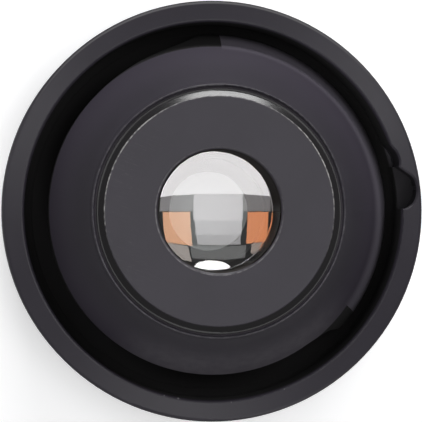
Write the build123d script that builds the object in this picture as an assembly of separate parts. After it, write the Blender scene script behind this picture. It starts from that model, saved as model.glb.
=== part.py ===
from build123d import *
import os
from math import sqrt, sin, cos, radians

# A small fisheye converter lens, 36 mm across its rear rim.
# Millimetres. The optical axis is Z. The front bezel's lip stands on z = 0,
# and the rear boss, with the small rear glass, points up.
# Angles in the XY plane run counter-clockwise from +X.

os.makedirs("parts", exist_ok=True)

# ---------------------------------------------------------------- dimensions
# rear rim and housing
RIM_R = 18.0            # outer radius of the rear rim
RIM_IN_R = 16.14        # inner wall of the rim, outer wall of the groove
RIM_IN_ROUND = 0.28     # rounding of the rim face into that wall
RIM_Z_IN = 17.75        # height of the rim face at its inner edge
RIM_Z_OUT = 17.20       # height of the rim face at its outer edge
RIM_LOW_Z = 13.4        # underside of the rim flange
BARREL_R = 16.6         # plain barrel below the rim flange
FLANGE_TOP = 12.8       # floor of the groove, top of the inner flange
FLANGE_LOW = 11.6       # underside of the inner flange
FLANGE_BORE = 9.0       # hole through the inner flange
FRONT_BORE = 14.2       # bore of the housing that takes the front parts
HOUSING_LOW = 6.0       # front end of the housing

# locating notch in the rim's inner edge, a plan outline
NOTCH_DEPTH = 2.60
NOTCH = [(15.93, 3.80), (16.33, 3.53), (16.90, 3.15), (17.27, 2.82),
         (17.46, 2.32), (17.53, 1.74), (17.43, 1.17), (17.17, 0.68),
         (16.79, 0.36), (16.30, 0.22)]
NOTCH_BREAK = 0.17      # broken edge round the notch and the relief
# relieved inner wall beside the notch, a plan outline
RELIEF = [(14.98, 6.02), (15.40, 5.42), (15.62, 5.17), (15.85, 4.76), (15.98, 4.29), (15.93, 3.80)]

# rear cover, the conical ring round the boss
LIP_R = 10.46           # hole in the cover for the boss
LIP_Z = 23.38
POCKET_R = 13.98        # inner edge of the clearance pocket
CONE_Z = 17.20          # height of the cone where the pocket cuts it
SKIRT_R = 15.40         # skirt outside the pocket
POCKET_FLOOR = 12.9
POCKET_IN = [(92.0, 15.62), (93, 15.35), (96, 14.99), (99, 14.73), (102, 14.56),
             (105, 14.45), (111, 14.33), (120, 14.19), (135, 14.05)]
POCKET_OUT = [(303, 13.98), (306, 13.98), (309, 14.05), (312, 14.18), (315, 14.46),
              (317.5, 15.02), (320, 15.34), (321.5, 15.62)]

# rear cell with the boss
FACE_Z = 23.80          # flat face of the boss
FACE_R = 9.65           # outer edge of the flat face
CHAMFER_R = 10.12       # outer edge of the boss chamfer
BOSS_R = 10.28          # outer wall of the boss
BOSS_Z = 23.40          # narrow ledge below the chamfer
BORE_R = 5.10           # rear bore, straight down to the rear glass
BORE_ROUND = 0.34       # rounded mouth of the bore
CELL_FLANGE_R = 11.40
CELL_FLANGE_H = 1.2
TUBE_R = 8.0            # tube below the flange
TUBE_LOW = 9.4
SEAT_Z = 17.62          # shoulder that the rear glass is pressed up against
SEAT_BORE = 5.65        # bore that takes the rear glass, from the front
SHOULDER_LOW = 16.15
DOUBLET_BORE = 6.05

# glass
REAR_R = 5.60
REAR_CURVE = 14.0       # hollow rear face of the rear glass
REAR_HOLLOW_R = 5.12
REAR_LOW = 16.10
REAR_FRONT_CURVE = 30.0
DOUBLET_R = 6.0
SECOND_R = 8.0
FRONT_R = 13.0
FRONT_CURVE = 20.0
FRONT_APEX = 0.40
FRONT_INNER_CURVE = 9.5
FRONT_INNER_APEX = 2.0

# front bezel
BEZEL_R = 17.0
BEZEL_TOP = 5.95
FLUTES = 60
FLUTE_R = 0.62
FLUTE_DEPTH = 0.32


# ------------------------------------------------------------------- helpers
def turn(*items):
    """Closed half section in (radius, height), turned about Z.
    A point adds a straight line to it; ("arc", mid, end) adds an arc."""
    start = items[0]
    here = start
    edges = []
    for item in items[1:]:
        if item[0] == "arc":
            edges.append(ThreePointArc(here, item[1], item[2]))
            here = item[2]
        else:
            edges.append(Line(here, item))
            here = item
    if abs(here[0] - start[0]) + abs(here[1] - start[1]) > 1e-9:
        edges.append(Line(here, start))
    return revolve(Plane.XZ * Face(Wire(edges)), axis=Axis.Z)


def polar(radius, angle):
    return (radius * cos(radians(angle)), radius * sin(radians(angle)))


def cyl(radius, low, high, x=0.0, y=0.0):
    return Pos(x, y, (low + high) / 2) * Cylinder(radius, high - low)


def sphere_z(apex, curve, r, up):
    """Height on a sphere of radius `curve` whose apex is at `apex`.
    up = True when the surface rises away from the axis."""
    sag = curve - sqrt(curve * curve - r * r)
    return apex + sag if up else apex - sag


def one(shape):
    """The single solid in a result."""
    solids = shape.solids()
    if len(solids) != 1:
        raise ValueError(f"expected one solid, got {len(solids)}")
    return solids[0]


def save(shape, name):
    shape.label = name
    export_step(shape, f"parts/{name}.step")
    print(name, round(sum(s.volume for s in shape.solids()), 2))


# ------------------------------------------------------------- outer housing
rim_slope = (RIM_Z_IN - RIM_Z_OUT - 0.06) / (RIM_R - 0.28 - RIM_IN_R - 0.12)
round_z = RIM_Z_IN - rim_slope * (RIM_IN_ROUND - 0.12)
housing = turn(
    (RIM_IN_R + RIM_IN_ROUND, round_z),
    (RIM_R - 0.28, RIM_Z_OUT + 0.06),
    ("arc", (RIM_R - 0.09, RIM_Z_OUT - 0.06), (RIM_R, RIM_Z_OUT - 0.26)),
    (RIM_R, RIM_LOW_Z + 0.35),
    (RIM_R - 0.35, RIM_LOW_Z),
    (BARREL_R + 0.35, RIM_LOW_Z),
    ("arc", (BARREL_R + 0.10, RIM_LOW_Z - 0.10), (BARREL_R, RIM_LOW_Z - 0.35)),
    (BARREL_R, 12.30), (BARREL_R - 0.25, 12.10), (BARREL_R - 0.25, 11.80), (BARREL_R, 11.60),
    (BARREL_R, 8.60), (BARREL_R - 0.25, 8.40), (BARREL_R - 0.25, 8.10), (BARREL_R, 7.90),
    (BARREL_R, HOUSING_LOW + 0.25),
    (BARREL_R - 0.25, HOUSING_LOW),
    (FRONT_BORE + 0.15, HOUSING_LOW),
    (FRONT_BORE, HOUSING_LOW + 0.15),
    (FRONT_BORE, FLANGE_LOW),
    (FLANGE_BORE + 0.15, FLANGE_LOW),
    (FLANGE_BORE, FLANGE_LOW + 0.15),
    (FLANGE_BORE, FLANGE_TOP - 0.15),
    (FLANGE_BORE + 0.15, FLANGE_TOP),
    (RIM_IN_R - 0.3, FLANGE_TOP),
    ("arc", (RIM_IN_R - 0.09, FLANGE_TOP + 0.09), (RIM_IN_R, FLANGE_TOP + 0.3)),
    (RIM_IN_R, round_z - RIM_IN_ROUND),
    ("arc", (RIM_IN_R + 0.3 * RIM_IN_ROUND, round_z - 0.285 * RIM_IN_ROUND), (RIM_IN_R + RIM_IN_ROUND, round_z)),
)

# locating notch: a blind recess that opens into the groove
notch_line = Spline([(x, y) for x, y in NOTCH])
a, b = NOTCH[0], NOTCH[-1]
notch_face = Face(Wire([notch_line, Line(b, (15.5, b[1] - 0.06)), Line((15.5, b[1] - 0.06), (15.5, a[1])),
                        Line((15.5, a[1]), a)]))
notch_floor = RIM_Z_OUT + 0.15 - NOTCH_DEPTH
housing -= Pos(0, 0, notch_floor) * extrude(notch_face, amount=6, dir=(0, 0, 1))

# relieved wall beside the notch, as deep as the groove
relief_line = Spline([(x, y) for x, y in RELIEF])
c, d = RELIEF[0], RELIEF[-1]
relief_face = Face(Wire([relief_line, Line(d, (15.0, d[1])), Line((15.0, d[1]), (c[0] - 0.4, c[1])),
                         Line((c[0] - 0.4, c[1]), c)]))
housing -= Pos(0, 0, FLANGE_TOP) * extrude(relief_face, amount=8, dir=(0, 0, 1))


# broken edge where notch and relief meet the rim face: a 45 degree cut along
# each outline, laid in the plane that the rim's cone makes there. It starts
# inside the void and ends above the rim, so that it crosses both cleanly.
def break_cut(line, theta, steps=24):
    ct, st = cos(radians(theta)), sin(radians(theta))

    def lift(x, y, dz):
        return (x, y, RIM_Z_IN - rim_slope * (x * ct + y * st - RIM_IN_R - 0.12) + dz)

    def loop(shift, dz):
        pts = []
        for i in range(steps + 1):
            p, t = line @ (i / steps), line % (i / steps)
            pts.append(lift(p.X - t.Y * shift, p.Y + t.X * shift, dz))
        pts.append(lift(14.6, pts[-1][1], dz))
        pts.append(lift(14.6, pts[0][1], dz))
        return Face(Wire(Polyline(*pts, close=True).edges()))

    under, over = 0.18, 0.45
    return loft([loop(-under, -NOTCH_BREAK - under), loop(NOTCH_BREAK + over, over)], ruled=True)


housing -= break_cut(notch_line, 7.0)
housing -= break_cut(relief_line, 17.0)

# holes for the three cover screws and the index pin
SCREW_PCR = 12.72
SCREW_ANGLES = (60, 180, 300)
PIN_ANGLE = 0
for angle in SCREW_ANGLES:
    x, y = polar(SCREW_PCR, angle)
    housing -= cyl(0.76, FLANGE_LOW - 1, FLANGE_TOP + 0.5, x, y)
    housing -= cyl(1.22, FLANGE_LOW - 1, FLANGE_LOW + 0.62, x, y)
px, py = polar(SCREW_PCR, PIN_ANGLE)
housing -= cyl(0.50, FLANGE_LOW - 1, FLANGE_TOP + 0.5, px, py)

# radial holes for the three grub screws that lock the bezel
GRUB_Z = 6.95
GRUB_ANGLES = (30, 150, 270)


def radial_cyl(radius, r0, r1, z, angle):
    body = Cylinder(radius, r1 - r0, rotation=(0, 90, 0))
    return Rot(0, 0, angle) * Pos((r0 + r1) / 2, 0, z) * body


for angle in GRUB_ANGLES:
    housing -= radial_cyl(0.50, FRONT_BORE - 0.6, BARREL_R + 0.5, GRUB_Z, angle)
outer_housing = one(housing)

# ---------------------------------------------------------------- rear cover
# A conical ring: a rolled inner lip, a straight cone, then a long soft shoulder
# that runs down into the narrow groove.
ca = ((LIP_R + 0.32) - POCKET_R, (LIP_Z - 0.42) - CONE_Z)
cone_len = sqrt(ca[0] ** 2 + ca[1] ** 2)
# shoulder arc, tangent to the cone and ending on the vertical skirt
dir_out = (-ca[0] / cone_len, -ca[1] / cone_len)
rho = (SKIRT_R - POCKET_R) / (1 + dir_out[1])
cx = POCKET_R + dir_out[1] * rho
cz = CONE_Z - dir_out[0] * rho
end_z = cz
# the middle of the arc, halfway between its two end directions from the centre
ux, uz = (POCKET_R - cx) / rho, (CONE_Z - cz) / rho
vx, vz = 1.0, 0.0
wx, wz = ux + vx, uz + vz
wn = sqrt(wx * wx + wz * wz)
shoulder_mid = (cx + rho * wx / wn, cz + rho * wz / wn)
cover_items = [
    (LIP_R, FLANGE_TOP + CELL_FLANGE_H + 0.12),
    (LIP_R, LIP_Z - 0.20),
    ("arc", (LIP_R + 0.05, LIP_Z - 0.05), (LIP_R + 0.17, LIP_Z)),
    ("arc", (LIP_R + 0.27, LIP_Z - 0.12), (LIP_R + 0.32, LIP_Z - 0.42)),
    (POCKET_R, CONE_Z),
]
if end_z > FLANGE_TOP + 0.02:
    cover_items += [("arc", shoulder_mid, (SKIRT_R, end_z)), (SKIRT_R, FLANGE_TOP)]
else:
    r_low = cx + sqrt(rho * rho - (FLANGE_TOP - cz) ** 2)
    z_mid = (CONE_Z + FLANGE_TOP) / 2
    r_mid = cx + sqrt(rho * rho - (z_mid - cz) ** 2)
    cover_items += [("arc", (r_mid, z_mid), (r_low, FLANGE_TOP))]
cover_items += [
    (CELL_FLANGE_R + 0.06, FLANGE_TOP),
    (CELL_FLANGE_R + 0.06, FLANGE_TOP + CELL_FLANGE_H + 0.12),
]
cover = turn(*cover_items)

# the arcuate clearance pocket, open towards the rim
inner_a = Spline([polar(r, t) for t, r in POCKET_IN])
inner_b = ThreePointArc(polar(POCKET_IN[-1][1], POCKET_IN[-1][0]), polar(POCKET_R, 219),
                        polar(POCKET_OUT[0][1], POCKET_OUT[0][0]))
inner_c = Spline([polar(r, t) for t, r in POCKET_OUT])
t0, r0 = POCKET_IN[0]
t1, r1 = POCKET_OUT[-1]
far = 17.0
pocket_face = Face(Wire([
    inner_a, inner_b, inner_c,
    Line(polar(r1, t1), polar(far, t1)),
    ThreePointArc(polar(far, t1), polar(far, (t0 + t1) / 2), polar(far, t0)),
    Line(polar(far, t0), polar(r0, t0)),
]))
cover -= Pos(0, 0, POCKET_FLOOR) * extrude(pocket_face, amount=8, dir=(0, 0, 1))

SCREW_TOP = 16.1
for angle in SCREW_ANGLES:
    x, y = polar(SCREW_PCR, angle)
    cover -= cyl(0.62, FLANGE_TOP - 0.5, SCREW_TOP, x, y)
cover -= cyl(0.50, FLANGE_TOP - 0.5, FLANGE_TOP + 2.2, px, py)
rear_cover = one(cover)

# ----------------------------------------------------------------- rear cell
SHIM_H = 0.10
cell_low = FLANGE_TOP + SHIM_H
cell = turn(
    (BORE_R + BORE_ROUND, FACE_Z),
    (FACE_R - 0.05, FACE_Z),
    ("arc", (FACE_R - 0.0146, FACE_Z - 0.0146), (FACE_R, FACE_Z - 0.05)),
    (CHAMFER_R - 0.04, BOSS_Z + 0.045),
    ("arc", (CHAMFER_R - 0.01, BOSS_Z + 0.018), (CHAMFER_R + 0.05, BOSS_Z)),
    (BOSS_R - 0.03, BOSS_Z),
    (BOSS_R, BOSS_Z - 0.03),
    (BOSS_R, FLANGE_TOP + CELL_FLANGE_H + 0.1),
    (CELL_FLANGE_R, FLANGE_TOP + CELL_FLANGE_H + 0.1),
    (CELL_FLANGE_R, cell_low),
    (TUBE_R, cell_low),
    (TUBE_R, TUBE_LOW + 0.2),
    (TUBE_R - 0.2, TUBE_LOW),
    (DOUBLET_BORE, TUBE_LOW),
    (DOUBLET_BORE, SHOULDER_LOW),
    (SEAT_BORE, SHOULDER_LOW),
    (SEAT_BORE, SEAT_Z),
    (BORE_R, SEAT_Z),
    (BORE_R, FACE_Z - BORE_ROUND),
    ("arc", (BORE_R + BORE_ROUND * (1 - sqrt(0.5)), FACE_Z - BORE_ROUND * (1 - sqrt(0.5))),
     (BORE_R + BORE_ROUND, FACE_Z)),
)
rear_cell = one(cell)

# ------------------------------------------------------------- spacing shim
spacing_shim = one(turn((9.1, FLANGE_TOP), (CELL_FLANGE_R - 0.05, FLANGE_TOP),
                        (CELL_FLANGE_R - 0.05, cell_low), (9.1, cell_low)))

# -------------------------------------------------------------- rear element
# A thin meniscus, put in from the front: its hollow face fills the bore.
hollow_z = sphere_z(0, REAR_CURVE, REAR_HOLLOW_R, True)
rear_centre = SEAT_Z - hollow_z
back_r = 4.75
back_sag = REAR_FRONT_CURVE - sqrt(REAR_FRONT_CURVE ** 2 - back_r ** 2)
rear_element = one(turn(
    (0, rear_centre),
    ("arc", (2.8, sphere_z(rear_centre, REAR_CURVE, 2.8, True)), (REAR_HOLLOW_R, SEAT_Z)),
    (REAR_R, SEAT_Z),
    (REAR_R, REAR_LOW),
    (back_r, REAR_LOW),
    ("arc", (2.5, sphere_z(REAR_LOW - back_sag, REAR_FRONT_CURVE, 2.5, True)), (0, REAR_LOW - back_sag)),
))

# -------------------------------------------------------------- rear spacer
DOUB_TOP = 14.60
CROWN_C = 26.0
crown_apex = DOUB_TOP + CROWN_C - sqrt(CROWN_C ** 2 - DOUBLET_R ** 2)
rear_spacer = one(turn(
    (5.0, REAR_LOW), (DOUBLET_R - 0.02, REAR_LOW),
    (DOUBLET_R - 0.02, DOUB_TOP + 0.03), (5.0, sphere_z(crown_apex, CROWN_C, 5.0, False) + 0.05),
))

# ---------------------------------------------------------- cemented doublet
CEMENT_C = 12.0
CEMENT_EDGE = 13.90
CEMENT_GAP = 0.02
cement_apex = CEMENT_EDGE - (CEMENT_C - sqrt(CEMENT_C ** 2 - DOUBLET_R ** 2))
doublet_crown = one(turn(
    (0, crown_apex),
    ("arc", (3.2, sphere_z(crown_apex, CROWN_C, 3.2, False)), (DOUBLET_R, DOUB_TOP)),
    (DOUBLET_R, CEMENT_EDGE),
    ("arc", (3.2, sphere_z(cement_apex, CEMENT_C, 3.2, True)), (0, cement_apex)),
))
FLINT_LOW = 10.9
FLINT_C = 30.0
flint_r = 5.2
flint_sag = FLINT_C - sqrt(FLINT_C ** 2 - flint_r ** 2)
g = CEMENT_C + CEMENT_GAP
zc = cement_apex + CEMENT_C
doublet_flint = one(turn(
    (0, zc - g),
    ("arc", (3.2, zc - sqrt(g * g - 3.2 ** 2)), (DOUBLET_R, zc - sqrt(g * g - DOUBLET_R ** 2))),
    (DOUBLET_R, FLINT_LOW),
    (flint_r, FLINT_LOW),
    ("arc", (flint_r * 0.5, FLINT_LOW + flint_sag - (FLINT_C - sqrt(FLINT_C ** 2 - (flint_r * 0.5) ** 2))),
     (0, FLINT_LOW + flint_sag)),
))

# --------------------------------------------------------- doublet retainer
dret = turn((5.0, FLINT_LOW), (DOUBLET_BORE - 0.03, FLINT_LOW), (DOUBLET_BORE - 0.03, FLINT_LOW - 1.0),
            (5.3, FLINT_LOW - 1.0), (5.0, FLINT_LOW - 0.7))
for angle in (0, 180):
    dret -= Rot(0, 0, angle) * Pos(5.6, 0, FLINT_LOW - 1.0) * Box(1.4, 0.8, 0.7)
doublet_retainer = one(dret)

# --------------------------------------------------------------- light stop
STOP_H = 0.25
light_stop = one(turn((3.7, TUBE_LOW), (7.75, TUBE_LOW), (7.75, TUBE_LOW - STOP_H),
                      (3.85, TUBE_LOW - STOP_H)))

# --------------------------------------------------------------- front cell
CELL_SEAT = TUBE_LOW - STOP_H       # 9.15: ledge under the stop
E2_TOP = CELL_SEAT - 0.45           # 8.70: seat of the second element
FC_LOW = 7.20
front_cell = one(turn(
    (TUBE_R + 0.05, FLANGE_LOW),
    (FRONT_BORE - 0.25, FLANGE_LOW),
    (FRONT_BORE - 0.05, FLANGE_LOW - 0.2),
    (FRONT_BORE - 0.05, FC_LOW + 1.0),
    (FRONT_BORE - 0.35, FC_LOW + 0.7),
    (FRONT_BORE - 0.35, FC_LOW),
    (SECOND_R + 0.05, FC_LOW),
    (SECOND_R + 0.05, E2_TOP),
    (7.10, E2_TOP),
    (6.85, CELL_SEAT - 0.15),
    (6.85, CELL_SEAT),
    (TUBE_R + 0.05, CELL_SEAT),
))

# ------------------------------------------------------------ second element
E2_C = 9.0
e2_r = 5.8
E2_EDGE_LOW = 7.40
E2_FRONT_C = 16.0
e2_front_r = 7.5
e2_sag = E2_C - sqrt(E2_C ** 2 - e2_r ** 2)
e2_fsag = E2_FRONT_C - sqrt(E2_FRONT_C ** 2 - e2_front_r ** 2)
second_element = one(turn(
    (0, E2_TOP - e2_sag),
    ("arc", (3.0, (E2_TOP - e2_sag) + E2_C - sqrt(E2_C ** 2 - 9.0)), (e2_r, E2_TOP)),
    (SECOND_R, E2_TOP),
    (SECOND_R, E2_EDGE_LOW),
    (e2_front_r, E2_EDGE_LOW),
    ("arc", (4.0, (E2_EDGE_LOW - e2_fsag) + E2_FRONT_C - sqrt(E2_FRONT_C ** 2 - 16.0)),
     (0, E2_EDGE_LOW - e2_fsag)),
))

# -------------------------------------------------------------- front spacer
E1_BACK = 7.0
front_spacer = one(turn(
    (7.52, E2_EDGE_LOW), (SECOND_R - 0.02, E2_EDGE_LOW), (SECOND_R - 0.02, FC_LOW),
    (12.9, FC_LOW), (12.9, E1_BACK), (8.25, E1_BACK), (7.9, FC_LOW - 0.1), (7.52, FC_LOW - 0.02),
))

# -------------------------------------------------------------- front element
inner_r = 8.0
front_edge = sphere_z(FRONT_APEX, FRONT_CURVE, FRONT_R, True)
inner_edge = sphere_z(FRONT_INNER_APEX, FRONT_INNER_CURVE, inner_r, True)
front_element = one(turn(
    (0, FRONT_APEX),
    ("arc", (7.0, sphere_z(FRONT_APEX, FRONT_CURVE, 7.0, True)), (FRONT_R, front_edge)),
    (FRONT_R, E1_BACK),
    (inner_r + 0.25, E1_BACK),
    (inner_r, inner_edge),
    ("arc", (4.5, sphere_z(FRONT_INNER_APEX, FRONT_INNER_CURVE, 4.5, True)), (0, FRONT_INNER_APEX)),
))

# --------------------------------------------------------------- front bezel
SPIGOT_R = FRONT_BORE - 0.04
SEAL_Z = 4.15
bezel = turn(
    (15.05, 0.0),
    (BEZEL_R - 0.45, 0.0),
    ("arc", (BEZEL_R - 0.13, 0.13), (BEZEL_R, 0.45)),
    (BEZEL_R, 1.00), (BEZEL_R - 0.18, 1.15), (BEZEL_R - 0.18, 1.30), (BEZEL_R, 1.45),
    (BEZEL_R, BEZEL_TOP - 0.95), (BEZEL_R - 0.18, BEZEL_TOP - 0.80),
    (BEZEL_R - 0.18, BEZEL_TOP - 0.65), (BEZEL_R, BEZEL_TOP - 0.50),
    (BEZEL_R, BEZEL_TOP - 0.20),
    (BEZEL_R - 0.20, BEZEL_TOP),
    (SPIGOT_R, BEZEL_TOP),
    (SPIGOT_R, 7.35),
    (SPIGOT_R - 0.15, 7.50),
    (FRONT_BORE - 0.31, 7.50),
    (FRONT_BORE - 0.31, FC_LOW - 0.04),
    (FRONT_R + 0.08, FC_LOW - 0.04),
    (FRONT_R + 0.08, SEAL_Z),
    (12.30, SEAL_Z),
    (12.30, SEAL_Z - 0.28),
    (12.52, 3.62), (12.70, 3.62), (12.95, 3.05), (13.13, 3.05), (13.38, 2.48), (13.56, 2.48),
    (13.81, 1.91), (13.99, 1.91), (14.24, 1.34), (14.42, 1.34),
    (14.85, 0.36),
    ("arc", (14.90, 0.12), (15.05, 0.0)),
)
# straight fluting for the fingers
flutes = []
for i in range(FLUTES):
    x, y = polar(BEZEL_R + FLUTE_R - FLUTE_DEPTH, 360.0 * (i + 0.5) / FLUTES)
    flutes.append(cyl(FLUTE_R, 1.45, BEZEL_TOP - 0.95, x, y))
bezel -= flutes
for angle in GRUB_ANGLES:
    bezel -= radial_cyl(0.36, SPIGOT_R - 0.25, SPIGOT_R + 0.3, GRUB_Z, angle)
front_bezel = one(bezel)

# ---------------------------------------------------------------- front seal
front_seal = one(turn(
    (12.34, SEAL_Z), (FRONT_R + 0.04, SEAL_Z), (FRONT_R + 0.04, front_edge - 0.04),
    (12.34, sphere_z(FRONT_APEX, FRONT_CURVE, 12.34, True) - 0.03),
))

# --------------------------------------------------- screws and the index pin
screws = []
for angle in SCREW_ANGLES:
    x, y = polar(SCREW_PCR, angle)
    head_low, head_top = FLANGE_LOW + 0.02, FLANGE_LOW + 0.62
    s = cyl(1.15, head_low, head_top, x, y) + cyl(0.60, head_top, SCREW_TOP - 0.15, x, y)
    s -= Pos(x, y, head_low) * Rot(0, 0, angle) * Box(1.5, 0.28, 0.6)
    s -= Pos(x, y, head_low) * Rot(0, 0, angle + 90) * Box(1.5, 0.28, 0.6)
    screws.append(one(s))
cover_screws = Compound(screws)

index_pin = one(cyl(0.47, FLANGE_LOW + 0.05, FLANGE_TOP + 2.1, px, py))

grubs = []
for angle in GRUB_ANGLES:
    g_in, g_out = SPIGOT_R - 0.20, BARREL_R - 0.30
    s = radial_cyl(0.47, FRONT_BORE + 0.02, g_out, GRUB_Z, angle) + radial_cyl(0.30, g_in, FRONT_BORE + 0.3, GRUB_Z, angle)
    s -= Rot(0, 0, angle) * Pos(g_out, 0, GRUB_Z) * Box(0.8, 0.9, 0.18)
    grubs.append(one(s))
grub_screws = Compound(grubs)

for shape, name in (
    (outer_housing, "outer_housing"), (rear_cover, "rear_cover"), (rear_cell, "rear_cell"),
    (spacing_shim, "spacing_shim"), (rear_element, "rear_element"), (rear_spacer, "rear_spacer"),
    (doublet_crown, "doublet_crown"), (doublet_flint, "doublet_flint"),
    (doublet_retainer, "doublet_retainer"), (light_stop, "light_stop"), (front_cell, "front_cell"),
    (second_element, "second_element"), (front_spacer, "front_spacer"), (front_element, "front_element"),
    (front_bezel, "front_bezel"), (front_seal, "front_seal"), (cover_screws, "cover_screws"),
    (index_pin, "index_pin"), (grub_screws, "grub_screws"),
):
    save(shape, name)
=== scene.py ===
from math import sin, cos, radians, pi, sqrt

import bpy
import bmesh
from mathutils import Matrix, Vector


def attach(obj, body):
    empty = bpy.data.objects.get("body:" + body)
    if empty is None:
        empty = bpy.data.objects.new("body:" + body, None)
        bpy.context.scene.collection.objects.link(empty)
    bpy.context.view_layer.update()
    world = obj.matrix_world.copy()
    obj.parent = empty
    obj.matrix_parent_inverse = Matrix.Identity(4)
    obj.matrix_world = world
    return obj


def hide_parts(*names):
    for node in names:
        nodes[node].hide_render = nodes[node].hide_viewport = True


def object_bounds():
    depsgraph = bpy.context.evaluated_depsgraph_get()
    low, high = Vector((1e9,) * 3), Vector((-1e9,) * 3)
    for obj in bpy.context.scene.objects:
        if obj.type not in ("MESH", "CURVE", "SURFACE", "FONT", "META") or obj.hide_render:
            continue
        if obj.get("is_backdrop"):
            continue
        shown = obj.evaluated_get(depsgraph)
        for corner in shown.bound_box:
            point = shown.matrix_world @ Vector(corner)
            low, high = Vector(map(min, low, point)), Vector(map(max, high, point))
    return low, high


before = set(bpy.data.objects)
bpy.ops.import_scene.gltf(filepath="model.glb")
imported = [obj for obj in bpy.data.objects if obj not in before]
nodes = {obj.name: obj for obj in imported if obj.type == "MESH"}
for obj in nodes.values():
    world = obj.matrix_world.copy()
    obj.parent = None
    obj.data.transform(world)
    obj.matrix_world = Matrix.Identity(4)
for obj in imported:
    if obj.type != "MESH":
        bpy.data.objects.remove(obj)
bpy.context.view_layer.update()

MM = 0.001
scene = bpy.context.scene

# ------------------------------------------------------------------ colour
scene.view_settings.view_transform = "Standard"
scene.view_settings.look = "None"
scene.view_settings.exposure = 0.0
scene.view_settings.gamma = 1.0
scene.cycles.use_denoising = True
scene.cycles.max_bounces = 16
scene.cycles.transmission_bounces = 14
scene.cycles.glossy_bounces = 8
scene.cycles.diffuse_bounces = 4
scene.cycles.sample_clamp_indirect = 8.0

# ------------------------------------------------------------------ camera
# Almost straight down the optical axis, a little to the left of it.
RIM_PLANE = 17.2
DIST = 300.0
TILT = 4.7
FRAME_MM = 36.05
target = Vector((-0.185, 0.016, RIM_PLANE)) * MM
back = Vector((-sin(radians(TILT)), 0.0, cos(radians(TILT))))
cam_data = bpy.data.cameras.new("camera")
cam_data.sensor_width = 36.0
cam_data.lens = 36.0 * DIST / FRAME_MM
cam_data.clip_start = 0.01
cam_data.clip_end = 20.0
cam = bpy.data.objects.new("camera", cam_data)
scene.collection.objects.link(cam)
cam_right = Vector((0, 1, 0)).cross(back).normalized()
cam_up = back.cross(cam_right).normalized()
eye = target + back * (DIST * MM)
cam.matrix_world = Matrix((
    (cam_right.x, cam_up.x, back.x, eye.x),
    (cam_right.y, cam_up.y, back.y, eye.y),
    (cam_right.z, cam_up.z, back.z, eye.z),
    (0, 0, 0, 1)))
scene.camera = cam


# ------------------------------------------------------------- node helpers
def tree_of(name):
    mat = bpy.data.materials.new(name)
    mat.use_nodes = True
    nt = mat.node_tree
    nt.nodes.clear()
    out = nt.nodes.new("ShaderNodeOutputMaterial")
    bsdf = nt.nodes.new("ShaderNodeBsdfPrincipled")
    nt.links.new(bsdf.outputs[0], out.inputs[0])
    return mat, nt, bsdf


def put(nt, sock, v):
    if isinstance(v, (int, float)):
        sock.default_value = v
    else:
        nt.links.new(v, sock)


def noise(nt, vec, scale, detail=3.0, rough=0.55):
    n = nt.nodes.new("ShaderNodeTexNoise")
    n.inputs["Scale"].default_value = scale
    n.inputs["Detail"].default_value = detail
    n.inputs["Roughness"].default_value = rough
    nt.links.new(vec, n.inputs["Vector"])
    return n.outputs["Fac"]


def ramp(nt, fac, lo, hi, a=0.0, b=1.0, smooth=False):
    m = nt.nodes.new("ShaderNodeMapRange")
    if smooth:
        m.interpolation_type = "SMOOTHSTEP"
    m.inputs["From Min"].default_value = lo
    m.inputs["From Max"].default_value = hi
    m.inputs["To Min"].default_value = a
    m.inputs["To Max"].default_value = b
    nt.links.new(fac, m.inputs["Value"])
    return m.outputs["Result"]


def calc(nt, op, a, b=None, c=None):
    m = nt.nodes.new("ShaderNodeMath")
    m.operation = op
    for i, v in enumerate((a, b, c)):
        if v is not None:
            put(nt, m.inputs[i], v)
    return m.outputs[0]


def mul(nt, *items):
    out = items[0]
    for v in items[1:]:
        out = calc(nt, "MULTIPLY", out, v)
    return out


def band(nt, v, mid, half, soft):
    """1 within `half` of `mid`, falling to 0 over `soft`."""
    d = calc(nt, "ABSOLUTE", calc(nt, "SUBTRACT", v, mid))
    return ramp(nt, d, half + soft, half, 0.0, 1.0)


def mix(nt, fac, a, b):
    m = nt.nodes.new("ShaderNodeMix")
    m.data_type = "RGBA"
    put(nt, m.inputs["Factor"], fac)
    for key, v in (("A", a), ("B", b)):
        sock = [s for s in m.inputs if s.name == key and s.type == "RGBA"][0]
        if isinstance(v, tuple):
            sock.default_value = (*v, 1.0)
        else:
            nt.links.new(v, sock)
    return [s for s in m.outputs if s.type == "RGBA"][0]


def blend(nt, fac, a, b):
    """Plain number mix."""
    m = nt.nodes.new("ShaderNodeMix")
    m.data_type = "FLOAT"
    put(nt, m.inputs["Factor"], fac)
    for key, v in (("A", a), ("B", b)):
        put(nt, [s for s in m.inputs if s.name == key and s.type == "VALUE"][0], v)
    return [s for s in m.outputs if s.type == "VALUE"][0]


def bump(nt, height, strength, distance, normal=None):
    b = nt.nodes.new("ShaderNodeBump")
    b.inputs["Strength"].default_value = strength
    b.inputs["Distance"].default_value = distance
    nt.links.new(height, b.inputs["Height"])
    if normal is not None:
        nt.links.new(normal, b.inputs["Normal"])
    return b.outputs[0]


def coords(nt):
    """Object coordinates in millimetres: the vector, x, y, z, and the distance from the axis."""
    tc = nt.nodes.new("ShaderNodeTexCoord")
    s = nt.nodes.new("ShaderNodeVectorMath")
    s.operation = "SCALE"
    s.inputs["Scale"].default_value = 1000.0
    nt.links.new(tc.outputs["Object"], s.inputs[0])
    p = s.outputs[0]
    x = nt.nodes.new("ShaderNodeSeparateXYZ")
    nt.links.new(p, x.inputs[0])
    X, Y, Z = x.outputs
    R = calc(nt, "SQRT", calc(nt, "ADD", calc(nt, "MULTIPLY", X, X), calc(nt, "MULTIPLY", Y, Y)))
    return p, X, Y, Z, R


def combine(nt, x, y, z):
    c = nt.nodes.new("ShaderNodeCombineXYZ")
    for s, v in zip(c.inputs, (x, y, z)):
        put(nt, s, v)
    return c.outputs[0]


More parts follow.
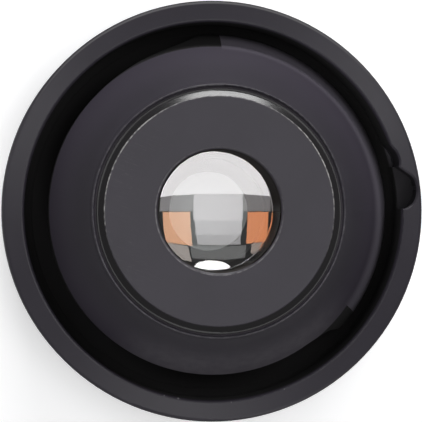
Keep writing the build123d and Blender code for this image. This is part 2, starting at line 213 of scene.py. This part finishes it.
def toward(nt, X, Y, R, angle, full, none):
    """1 near the direction `angle` (degrees), 0 beyond: full and none are half widths in degrees."""
    a = radians(angle)
    dot = calc(nt, "ADD", calc(nt, "MULTIPLY", X, cos(a)), calc(nt, "MULTIPLY", Y, sin(a)))
    c = calc(nt, "DIVIDE", dot, calc(nt, "MAXIMUM", R, 0.001))
    return ramp(nt, c, cos(radians(none)), cos(radians(full)), 0.0, 1.0, smooth=True)


def specks(nt, p, cell, size, share, seed):
    """Small dust specks: 1 inside a speck. One in `share` cells of `cell` mm carries one."""
    v = nt.nodes.new("ShaderNodeTexVoronoi")
    v.inputs["Scale"].default_value = 1.0 / cell
    v.inputs["Randomness"].default_value = 1.0
    off = nt.nodes.new("ShaderNodeVectorMath")
    off.operation = "ADD"
    off.inputs[1].default_value = (seed, seed * 1.7, seed * 0.3)
    nt.links.new(p, off.inputs[0])
    nt.links.new(off.outputs[0], v.inputs["Vector"])
    near = ramp(nt, v.outputs["Distance"], size / cell, size / cell * 0.4, 0.0, 1.0)
    s = nt.nodes.new("ShaderNodeSeparateColor")
    nt.links.new(v.outputs["Color"], s.inputs[0])
    pick = calc(nt, "GREATER_THAN", s.outputs[0], 1.0 - share)
    return calc(nt, "MULTIPLY", near, pick)


def spot(nt, X, Y, x, y, size):
    dx = calc(nt, "SUBTRACT", X, x)
    dy = calc(nt, "SUBTRACT", Y, y)
    d = calc(nt, "SQRT", calc(nt, "ADD", calc(nt, "MULTIPLY", dx, dx), calc(nt, "MULTIPLY", dy, dy)))
    return ramp(nt, d, size, size * 0.4, 0.0, 1.0)


def largest(nt, *items):
    out = items[0]
    for v in items[1:]:
        out = calc(nt, "MAXIMUM", out, v)
    return out


# painted shade: the colour that the shade masks paint into deep places
PAINTED_SHADE_COLOR = (0.0040, 0.0034, 0.0038)


def matte_black(name, tint, rough, spec, shade=None, extra=None, grain=26.0, grain_bump=0.20):
    """Fine matte black finish with slight mottling and dust.
    shade(nt, p, X, Y, Z, R) gives a 0-1 mask of the deep places, which are painted dark: painted shade.
    extra(nt, p, X, Y, Z, R, col, rough) returns a changed colour and roughness."""
    mat, nt, bsdf = tree_of(name)
    p, X, Y, Z, R = coords(nt)
    broad = noise(nt, p, 0.30, 2.0)
    mid = noise(nt, p, 4.0, 3.0)
    fine = noise(nt, p, grain, 3.0, 0.6)
    col = mix(nt, ramp(nt, broad, 0.3, 0.7), tuple(c * 0.94 for c in tint), tuple(c * 1.06 for c in tint))
    col = mix(nt, ramp(nt, mid, 0.55, 0.8, 0.0, 0.30), col, tuple(c * 1.35 for c in tint))
    dust = specks(nt, p, 1.7, 0.05, 0.08, 3.1)
    col = mix(nt, calc(nt, "MULTIPLY", dust, 0.30), col, (0.26, 0.25, 0.26))
    rgh = ramp(nt, fine, 0.25, 0.75, rough - 0.04, rough + 0.04)
    if extra is not None:
        col, rgh = extra(nt, p, X, Y, Z, R, col, rgh)
    if shade is not None:
        # painted shade: where the mask is 1 the colour is painted dark and the finish roughened
        m = shade(nt, p, X, Y, Z, R)
        col = mix(nt, m, col, PAINTED_SHADE_COLOR)
        rgh = blend(nt, m, rgh, 0.92)
    nt.links.new(col, bsdf.inputs["Base Color"])
    nt.links.new(rgh, bsdf.inputs["Roughness"])
    bsdf.inputs["Specular IOR Level"].default_value = spec
    nt.links.new(bump(nt, fine, grain_bump, 0.00001), bsdf.inputs["Normal"])
    return mat


def paint(node, mat):
    o = nodes[node]
    o.data.materials.clear()
    o.data.materials.append(mat)


TINT = (0.0262, 0.0226, 0.0318)
ROUGH = 0.41
SPEC = 0.46


# housing: painted shade, the groove and the notch are painted darker than the rim
def housing_shade(nt, p, X, Y, Z, R):
    inner = ramp(nt, R, 16.34, 16.18, 0.0, 1.0)
    low = ramp(nt, Z, 17.55, 17.20, 0.0, 1.0)
    groove = calc(nt, "MULTIPLY", inner, low)
    in_notch = calc(nt, "MULTIPLY", calc(nt, "LESS_THAN", R, 17.62), calc(nt, "GREATER_THAN", Z, 13.7))
    deep = ramp(nt, Z, 17.05, 16.70, 0.0, 0.62)
    notch = calc(nt, "MULTIPLY", in_notch, deep)
    both = calc(nt, "MAXIMUM", groove, notch)
    return calc(nt, "MULTIPLY", both, calc(nt, "GREATER_THAN", Z, 11.55))


def housing_wear_and_highlight(nt, p, X, Y, Z, R, col, rgh):
    # dust caught on the rim's -Y side, a faint rub along the outer corner, and a painted highlight along the rim's
    # outer rounding on its +Y side
    marks = largest(nt, spot(nt, X, Y, -4.22, -15.70, 0.075), spot(nt, X, Y, -3.02, -15.95, 0.11),
                    spot(nt, X, Y, 1.51, -16.30, 0.06), spot(nt, X, Y, 6.06, -15.20, 0.055))
    marks = calc(nt, "MULTIPLY", marks, calc(nt, "GREATER_THAN", Z, 16.5))
    col = mix(nt, calc(nt, "MULTIPLY", marks, 0.55), col, (0.33, 0.32, 0.32))
    edge = mul(nt, band(nt, R, 17.96, 0.03, 0.06), calc(nt, "GREATER_THAN", Z, 16.8),
               ramp(nt, noise(nt, p, 1.6, 4.0, 0.7), 0.48, 0.70))
    col = mix(nt, calc(nt, "MULTIPLY", edge, 0.35), col, (0.11, 0.105, 0.11))
    # painted highlight: a lighter line on the rim's outer rounding towards the +Y side, where the low strip lamp shines
    rub_and_highlight = mul(nt, band(nt, R, 17.80, 0.04, 0.07), calc(nt, "GREATER_THAN", Z, 16.9), toward(nt, X, Y, R, 95, 22, 62))
    col = mix(nt, calc(nt, "MULTIPLY", rub_and_highlight, 0.6), col, (0.17, 0.165, 0.17))
    return col, rgh


def pocket_side(nt, X, Y, R):
    """1 on the side of the cover that has the pocket."""
    dx = calc(nt, "MULTIPLY", X, cos(radians(206)))
    dy = calc(nt, "MULTIPLY", Y, sin(radians(206)))
    c = calc(nt, "DIVIDE", calc(nt, "ADD", dx, dy), calc(nt, "MAXIMUM", R, 0.01))
    return calc(nt, "GREATER_THAN", c, cos(radians(119)))


def cover_shade(nt, p, X, Y, Z, R):
    """Painted shade: the pocket's walls and floor, and the skirt down in the groove, are painted dark."""
    skirt = ramp(nt, R, 15.26, 15.40, 0.0, 1.0, smooth=True)
    deep = ramp(nt, Z, 14.0, 13.2, 0.0, 1.0, smooth=True)
    side = pocket_side(nt, X, Y, R)
    wall = mul(nt, ramp(nt, Z, 17.12, 16.95, 0.0, 1.0), calc(nt, "GREATER_THAN", R, 13.9), side)
    low = mul(nt, ramp(nt, Z, 16.9, 16.2, 0.0, 1.0), side)
    return largest(nt, skirt, deep, wall, low)


def cover_wear_and_painted_light(nt, p, X, Y, Z, R, col, rgh):
    # painted light: the finish is painted a little greyer towards the outside, lifting the shade that the rim casts
    # there
    outer = ramp(nt, R, 11.2, 13.6, 0.0, 1.0, smooth=True)
    col = mix(nt, calc(nt, "MULTIPLY", outer, 0.55), col, (0.058, 0.051, 0.067))
    # painted light: the open shoulder beside the pocket is painted greyer still, for the light its steep slope misses
    open_side = calc(nt, "SUBTRACT", 1.0, pocket_side(nt, X, Y, R))
    shoulder_painted_light = mul(nt, ramp(nt, R, 13.7, 14.6, 0.0, 1.0, smooth=True), open_side)
    col = mix(nt, shoulder_painted_light, col, (0.135, 0.124, 0.150))
    # painted light: the lower side is painted lighter, more so outwards towards the pocket's edge
    low_side_painted_light = mul(nt, toward(nt, X, Y, R, 280, 22, 52), ramp(nt, R, 11.4, 13.4, 0.1, 1.0, smooth=True),
               ramp(nt, noise(nt, p, 1.3, 4.0, 0.6), 0.30, 0.62, 0.55, 1.0))
    col = mix(nt, calc(nt, "MULTIPLY", low_side_painted_light, 0.85), col, (0.098, 0.092, 0.104))
    lip = mul(nt, band(nt, R, 10.60, 0.05, 0.07), calc(nt, "GREATER_THAN", Z, 23.2),
              ramp(nt, noise(nt, p, 2.2, 4.0, 0.7), 0.42, 0.66))
    col = mix(nt, calc(nt, "MULTIPLY", lip, 0.45), col, (0.12, 0.115, 0.12))
    return col, rgh


def cell_shade(nt, p, X, Y, Z, R):
    inside = calc(nt, "LESS_THAN", R, 5.4)
    return calc(nt, "MULTIPLY", inside, ramp(nt, Z, 23.62, 23.46, 0.0, 1.0))


def cell_finish_and_painted_light(nt, p, X, Y, Z, R, col, rgh):
    top = calc(nt, "GREATER_THAN", Z, 22.5)
    # turned chamfer: darker and smoother than the blasted face
    chamfer = mul(nt, ramp(nt, R, 9.655, 9.70, 0.0, 1.0), ramp(nt, Z, 23.79, 23.74, 0.0, 1.0), top)
    col = mix(nt, chamfer, col, (0.0075, 0.0066, 0.0078))
    lines = noise(nt, combine(nt, calc(nt, "MULTIPLY", R, 14.0), 0.0, calc(nt, "MULTIPLY", Z, 14.0)), 1.0, 4.0, 0.7)
    rgh = blend(nt, chamfer, rgh, ramp(nt, lines, 0.3, 0.7, 0.20, 0.30))
    # the corner of the face is worn to bare metal in places; its light line is also a painted highlight, strongest
    # towards 26 and 152 degrees, where the side lamps stand, and weaker across the +Y side
    highlight_sides = largest(nt, toward(nt, X, Y, R, 26, 12, 36), toward(nt, X, Y, R, 152, 22, 44),
                    calc(nt, "MULTIPLY", toward(nt, X, Y, R, 90, 85, 125), 0.42))
    chips = ramp(nt, noise(nt, p, 3.0, 5.0, 0.75), 0.40, 0.60)
    worn_and_highlight = mul(nt, band(nt, R, 9.64, 0.028, 0.035), calc(nt, "GREATER_THAN", Z, 23.70), highlight_sides, chips)
    col = mix(nt, worn_and_highlight, col, (0.42, 0.41, 0.40))
    # a broken light line all round the mouth of the bore, strongest towards the lower left
    chips2 = ramp(nt, noise(nt, p, 2.4, 5.0, 0.75), 0.38, 0.62)
    ring = mul(nt, band(nt, R, 5.36, 0.025, 0.045), calc(nt, "GREATER_THAN", Z, 23.5), chips2,
               calc(nt, "ADD", 0.30, calc(nt, "MULTIPLY", toward(nt, X, Y, R, 235, 85, 125), 0.70)))
    col = mix(nt, calc(nt, "MULTIPLY", ring, 0.55), col, (0.30, 0.29, 0.29))
    # a few fine handling scratches on the flat, near its left edge
    bend = calc(nt, "ADD", calc(nt, "MULTIPLY", X, 0.35), Y)
    scratch = noise(nt, combine(nt, calc(nt, "MULTIPLY", bend, 5.5), calc(nt, "MULTIPLY", X, 0.35), 0.0), 1.0, 2.0, 0.5)
    hair = mul(nt, band(nt, scratch, 0.62, 0.003, 0.006), calc(nt, "GREATER_THAN", Z, 23.78),
               toward(nt, X, Y, R, 178, 30, 62), ramp(nt, R, 6.6, 8.2))
    col = mix(nt, calc(nt, "MULTIPLY", hair, 0.35), col, (0.10, 0.098, 0.102))
    # the bore wall is smooth, most of all on its lower right; it is also painted darker, a painted shade inside the
    # bore
    wall = mul(nt, calc(nt, "LESS_THAN", R, 5.2), calc(nt, "GREATER_THAN", Z, 17.6))
    smooth_side = toward(nt, X, Y, R, 332, 22, 40)
    rgh = blend(nt, wall, rgh, blend(nt, smooth_side, 0.80, 0.16))
    col = mix(nt, wall, col, (0.011, 0.0085, 0.0075))
    return col, rgh


m_housing = matte_black("housing_black", TINT, ROUGH, SPEC, housing_shade, housing_wear_and_highlight)
m_cover = matte_black("cover_black", TINT, ROUGH, SPEC, cover_shade, cover_wear_and_painted_light)
m_cell = matte_black("boss_black", TINT, ROUGH, SPEC, None, cell_finish_and_painted_light)


def bezel_wear(nt, p, X, Y, Z, R, col, rgh):
    # the high ribs and corners of the grip are rubbed a little brighter
    rub_and_highlight = mul(nt, ramp(nt, R, 16.93, 16.99), ramp(nt, noise(nt, p, 1.1, 4.0, 0.65), 0.45, 0.68))
    col = mix(nt, calc(nt, "MULTIPLY", rub_and_highlight, 0.5), col, (0.075, 0.072, 0.076))
    rgh = blend(nt, calc(nt, "MULTIPLY", rub_and_highlight, 0.6), rgh, 0.28)
    return col, rgh


m_bezel = matte_black("bezel_black", (0.022, 0.0205, 0.0245), 0.36, 0.5, None, bezel_wear, 18.0, 0.15)
m_inner = matte_black("inner_black", (0.008, 0.008, 0.009), 0.62, 0.35, None, None, 14.0, 0.35)


def metal(name, color, rough, cell, metallic=1.0):
    mat, nt, bsdf = tree_of(name)
    p, X, Y, Z, R = coords(nt)
    grain = noise(nt, p, cell, 4.0, 0.65)
    stain = noise(nt, p, 1.2, 3.0, 0.6)
    col = mix(nt, ramp(nt, stain, 0.40, 0.72), color, tuple(c * 0.62 for c in color))
    nt.links.new(col, bsdf.inputs["Base Color"])
    nt.links.new(ramp(nt, grain, 0.25, 0.75, rough - 0.08, rough + 0.10), bsdf.inputs["Roughness"])
    bsdf.inputs["Metallic"].default_value = metallic
    nt.links.new(bump(nt, grain, 0.12, 0.00001), bsdf.inputs["Normal"])
    return mat


m_steel = metal("steel", (0.44, 0.43, 0.42), 0.34, 9.0)
m_brass = metal("brass", (0.62, 0.45, 0.20), 0.30, 7.0)

m_rubber, nt, bsdf = tree_of("seal_rubber")
p, X, Y, Z, R = coords(nt)
grain = noise(nt, p, 20.0, 4.0, 0.7)
nt.links.new(mix(nt, ramp(nt, grain, 0.3, 0.7), (0.010, 0.010, 0.010), (0.020, 0.019, 0.019)), bsdf.inputs["Base Color"])
nt.links.new(ramp(nt, grain, 0.3, 0.7, 0.62, 0.80), bsdf.inputs["Roughness"])
nt.links.new(bump(nt, grain, 0.3, 0.00001), bsdf.inputs["Normal"])

paint("outer_housing", m_housing)
paint("rear_cover", m_cover)
paint("rear_cell", m_cell)
paint("front_bezel", m_bezel)
for n in ("rear_spacer", "doublet_retainer", "light_stop", "front_cell", "front_spacer"):
    paint(n, m_inner)
paint("spacing_shim", m_brass)
paint("front_seal", m_rubber)
for n in ("cover_screws", "index_pin", "grub_screws"):
    paint(n, m_steel)


# ------------------------------------------------------------------- glasses
# Each glass is turned again as one smooth piece, in the place its solid has.
def glass_material(name, spec, smear, tint=(0.955, 0.970, 0.965)):
    mat, nt, bsdf = tree_of(name)
    p, X, Y, Z, R = coords(nt)
    haze = noise(nt, p, 0.55, 4.0, 0.6)
    dust = specks(nt, p, 0.9, 0.03, 0.10, 7.7)
    col = mix(nt, calc(nt, "MULTIPLY", dust, 0.5), tint, (0.55, 0.54, 0.52))
    nt.links.new(col, bsdf.inputs["Base Color"])
    rgh = ramp(nt, haze, 0.45, 0.75, 0.0, smear)
    nt.links.new(blend(nt, dust, rgh, 0.4), bsdf.inputs["Roughness"])
    bsdf.inputs["Transmission Weight"].default_value = 1.0
    bsdf.inputs["IOR"].default_value = 1.60
    bsdf.inputs["Specular IOR Level"].default_value = spec
    nt.links.new(bump(nt, haze, 0.02, 0.00001), bsdf.inputs["Normal"])
    return mat


g_rear = glass_material("glass_rear_face", 0.50, 0.035)
g_coated = glass_material("glass_coated", 0.10, 0.02)
g_front = glass_material("glass_front_face", 0.40, 0.03)
g_edge = matte_black("glass_edge_black", (0.006, 0.006, 0.006), 0.55, 0.4)


def arc_points(r0, z0, r1, z1, curve, up, count):
    """Points on a sphere's profile from (r0, z0) to (r1, z1); up = True when it rises away from the axis."""
    out = []
    base = z0 - (curve - sqrt(curve * curve - r0 * r0)) * (1 if up else -1)
    for i in range(1, count + 1):
        r = r0 + (r1 - r0) * i / count
        out.append((r, base + (curve - sqrt(curve * curve - r * r)) * (1 if up else -1)))
    out[-1] = (r1, z1)
    return out


def lathe(name, start, runs, mats, segments=180):
    """Turn a closed profile about Z. runs is a list of (points, material index), in millimetres."""
    mesh = bpy.data.meshes.new(name)
    bm = bmesh.new()

    def ring(r, z):
        if r < 1e-6:
            return [bm.verts.new((0, 0, z * MM))]
        return [bm.verts.new((r * cos(2 * pi * k / segments) * MM, r * sin(2 * pi * k / segments) * MM, z * MM))
                for k in range(segments)]

    first = ring(*start)
    here, place = first, start
    for points, index in runs:
        for q in points:
            last = abs(q[0] - start[0]) < 1e-7 and abs(q[1] - start[1]) < 1e-7
            nxt = first if last else ring(*q)
            for k in range(segments):
                j = (k + 1) % segments
                if len(here) == 1 and len(nxt) == 1:
                    continue
                if len(here) == 1:
                    f = bm.faces.new((here[0], nxt[j], nxt[k]))
                elif len(nxt) == 1:
                    f = bm.faces.new((here[k], here[j], nxt[0]))
                else:
                    f = bm.faces.new((here[k], here[j], nxt[j], nxt[k]))
                f.material_index = index
                f.smooth = True
            here, place = nxt, q
    bmesh.ops.recalc_face_normals(bm, faces=bm.faces[:])
    bm.to_mesh(mesh)
    bm.free()
    for m in mats:
        mesh.materials.append(m)
    mesh.set_sharp_from_angle(angle=radians(32))
    o = bpy.data.objects.new(name, mesh)
    scene.collection.objects.link(o)
    return o


def as_glass(piece, *cad):
    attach(piece, "root")
    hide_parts(*cad)
    return piece


def sag(curve, r):
    return curve - sqrt(curve * curve - r * r)


# rear glass: hollow rear face, edge blackened
top, low = 17.61, 16.11
centre = top - sag(14.0, 5.12)
belly = low - sag(30.0, 4.75)
rear_glass = lathe("rear_glass", (0, centre), [
    (arc_points(0, centre, 5.12, top, 14.0, True, 40), 0),
    ([(5.59, top)], 0), ([(5.59, low)], 2), ([(4.75, low)], 2),
    (arc_points(0, belly, 4.75, low, 30.0, True, 24)[-2::-1] + [(0, belly)], 1),
], [g_rear, g_coated, g_edge])
as_glass(rear_glass, "rear_element")

# cemented pair, one block of glass
top, low = 14.60, 10.91
apex = top + sag(26.0, 6.0)
hollow = low + sag(30.0, 5.2)
pair = lathe("doublet_glass", (0, apex), [
    (arc_points(0, apex, 5.98, top + 0.004, 26.0, False, 28), 0),
    ([(5.98, low)], 1), ([(5.2, low)], 1),
    (arc_points(0, hollow, 5.2, low, 30.0, False, 20)[-2::-1] + [(0, hollow)], 0),
], [g_coated, g_edge])
as_glass(pair, "doublet_crown", "doublet_flint")

# second glass
seat, low = 8.69, 7.41
dip = seat - sag(9.0, 5.8)
nose = low - sag(16.0, 7.5)
second = lathe("second_glass", (0, dip), [
    (arc_points(0, dip, 5.8, seat, 9.0, True, 32), 0),
    ([(7.99, seat)], 1), ([(7.99, low)], 1), ([(7.5, low)], 1),
    (arc_points(0, nose, 7.5, low, 16.0, True, 24)[-2::-1] + [(0, nose)], 0),
], [g_coated, g_edge])
as_glass(second, "second_element")

# front dome
rim = 0.40 + sag(20.0, 12.99)
inner = 2.0 + sag(9.5, 8.0)
dome = lathe("front_glass", (0, 0.40), [
    (arc_points(0, 0.40, 12.99, rim, 20.0, True, 48), 0),
    ([(12.99, 6.99)], 2), ([(8.25, 6.99)], 2), ([(8.0, inner)], 2),
    (arc_points(0, 2.0, 8.0, inner, 9.5, True, 36)[-2::-1] + [(0, 2.0)], 1),
], [g_front, g_coated, g_edge])
as_glass(dome, "front_element")

# a filler ring in the gap between boss and cover
gap_fill = lathe("gap_fill", (10.29, 23.00), [([(10.45, 23.00), (10.45, 23.19), (10.37, 23.16), (10.29, 23.19),
                                               (10.29, 23.00)], 0)],
                 [matte_black("gap_fill", (0.040, 0.035, 0.043), 0.70, 0.3, None, None, 30.0, 0.5)])
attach(gap_fill, "root")

# ------------------------------------------------------- floor and backdrop
mesh = bpy.data.meshes.new("floor")
bm = bmesh.new()
bmesh.ops.create_circle(bm, cap_ends=True, segments=96, radius=2.2)
bm.to_mesh(mesh)
bm.free()
floor = bpy.data.objects.new("floor", mesh)
floor.location = (0, 0, -0.00002)
scene.collection.objects.link(floor)
floor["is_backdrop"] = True
floor.visible_diffuse = False
floor.visible_glossy = False
m_floor, nt, bsdf = tree_of("floor")
bsdf.inputs["Base Color"].default_value = (0.80, 0.80, 0.81, 1)
bsdf.inputs["Roughness"].default_value = 0.85
bsdf.inputs["Specular IOR Level"].default_value = 0.1
bsdf.inputs["Emission Color"].default_value = (1, 1, 1, 1)
p, X, Y, Z, R = coords(nt)
# painted shadow: the floor glows less within about 13 mm of the axis, a painted contact shadow under the lens
nt.links.new(ramp(nt, R, 13.0, 22.0, 0.13, 0.50, smooth=True), bsdf.inputs["Emission Strength"])
floor.data.materials.append(m_floor)

mesh = bpy.data.meshes.new("backdrop")
bm = bmesh.new()
bmesh.ops.create_uvsphere(bm, u_segments=64, v_segments=32, radius=2.2)
bmesh.ops.delete(bm, geom=[v for v in bm.verts if v.co.z < -0.01], context="VERTS")
bm.to_mesh(mesh)
bm.free()
backdrop = bpy.data.objects.new("backdrop", mesh)
scene.collection.objects.link(backdrop)
backdrop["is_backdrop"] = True
for flag in ("visible_diffuse", "visible_glossy", "visible_transmission", "visible_shadow"):
    setattr(backdrop, flag, False)
m_back, nt, bsdf = tree_of("backdrop")
bsdf.inputs["Base Color"].default_value = (0, 0, 0, 1)
bsdf.inputs["Specular IOR Level"].default_value = 0.0
bsdf.inputs["Emission Color"].default_value = (0.86, 0.86, 0.87, 1)
bsdf.inputs["Emission Strength"].default_value = 0.95
backdrop.data.materials.append(m_back)

world = bpy.data.worlds.new("studio")
scene.world = world
world.use_nodes = True
world.node_tree.nodes["Background"].inputs[0].default_value = (1, 1, 1, 1)
world.node_tree.nodes["Background"].inputs[1].default_value = 0.29

# ------------------------------------------------------------------ lights
to_glass = bpy.data.collections.new("lit_glass")
to_glass.objects.link(rear_glass)
not_glass = bpy.data.collections.new("lit_not_glass")
for o in (rear_glass, pair, second):
    not_glass.objects.link(o)
for item in not_glass.collection_objects:
    item.light_linking.link_state = "EXCLUDE"


def softbox(name, azimuth, elevation, dist, sx, sy, radiance, color=(1, 1, 1), aim=(0, 0, 0.02)):
    """A soft box. azimuth is counter-clockwise from +X; radiance is what a mirror would show."""
    data = bpy.data.lights.new(name, "AREA")
    data.shape = "RECTANGLE"
    data.size, data.size_y = sx, sy
    data.energy = radiance * pi * sx * sy
    data.color = color
    o = bpy.data.objects.new(name, data)
    a, e = radians(azimuth), radians(elevation)
    d = Vector((cos(a) * cos(e), sin(a) * cos(e), sin(e)))
    o.location = Vector(aim) + d * dist
    o.rotation_mode = "QUATERNION"
    o.rotation_quaternion = d.to_track_quat("Z", "Y")
    o.visible_camera = False
    scene.collection.objects.link(o)
    o.light_linking.receiver_collection = not_glass
    return o


softbox("box_right", 31, 53, 0.50, 0.20, 0.24, 2.7)
softbox("box_left", 150, 53, 0.50, 0.18, 0.24, 2.5)
softbox("box_low", 268, 53, 0.50, 0.20, 0.24, 2.5)
strip = softbox("strip_top", 82, 19, 0.50, 0.34, 0.12, 17.0)
softbox("ceiling", 0, 85, 0.60, 0.22, 0.22, 1.9)
# the high strip leaves the rim to a lower, weaker one of its own
not_rim = bpy.data.collections.new("lit_not_rim")
for o in (rear_glass, pair, second, nodes["outer_housing"]):
    not_rim.objects.link(o)
for item in not_rim.collection_objects:
    item.light_linking.link_state = "EXCLUDE"
strip.light_linking.receiver_collection = not_rim
only_rim = bpy.data.collections.new("lit_rim")
only_rim.objects.link(nodes["outer_housing"])
strip = softbox("strip_rim", 88, 6, 0.50, 0.40, 0.07, 6.0)
strip.light_linking.receiver_collection = only_rim
# low fills that show the barrel and the fluted grip from the side
sides = bpy.data.collections.new("lit_sides")
for n in ("outer_housing", "front_bezel", "grub_screws"):
    sides.objects.link(nodes[n])
for i, (az, power) in enumerate(((40, 3.6), (165, 2.6), (285, 3.2))):
    fill = softbox("fill_%d" % i, az, 7, 0.60, 0.30, 0.16, 0.75 * power)
    fill.light_linking.receiver_collection = sides


def card(name, x0, x1, y0, y1, radiance, color=(1, 1, 1), shape="RECTANGLE"):
    """A card over the lens that only the rear glass shows. Millimetres, 250 above the floor."""
    data = bpy.data.lights.new(name, "AREA")
    data.shape = shape
    data.size, data.size_y = (x1 - x0) * MM, (y1 - y0) * MM
    k = pi / 4 if shape == "ELLIPSE" else 1.0
    data.energy = radiance * pi * data.size * data.size_y * k
    data.color = color
    o = bpy.data.objects.new(name, data)
    o.location = ((x0 + x1) / 2 * MM, (y0 + y1) / 2 * MM, 0.250)
    o.visible_camera = False
    o.visible_transmission = False
    scene.collection.objects.link(o)
    o.light_linking.receiver_collection = to_glass
    return o


card("card_white", -190, 250, -260, -48, 13.0, (1.0, 0.975, 0.985))
card("card_high", -60, 110, -260, -150, 4.0, (1.0, 0.99, 0.98))
card("card_mid", -64, 74, -48, 26, 8.4, (1.0, 0.965, 0.985))
card("card_mid_low", -62, 70, 26, 66, 6.6, (1.0, 0.965, 0.99))
card("card_mid_foot", -60, 68, 66, 98, 5.0, (1.0, 0.965, 0.99))
card("card_side_left", 74, 205, -48, 0, 3.4, (1.0, 0.96, 0.98))
card("card_side_right", -160, -64, -48, 0, 2.8, (1.0, 0.94, 0.95))
card("card_band", -78, 92, 102, 150, 1.9)
card("card_warm_left", 84, 190, 2, 104, 11.0, (1.0, 0.54, 0.32))
card("card_warm_right", -150, -78, 2, 98, 10.5, (1.0, 0.36, 0.15))
card("card_low_left", 98, 178, 106, 166, 5.2, (1.0, 0.90, 0.84))
card("card_low_right", -150, -96, 100, 136, 4.6, (1.0, 0.82, 0.72))
card("card_low", -34, 92, 154, 240, 20.0, (1.0, 1.0, 0.98), "ELLIPSE")

low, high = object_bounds()
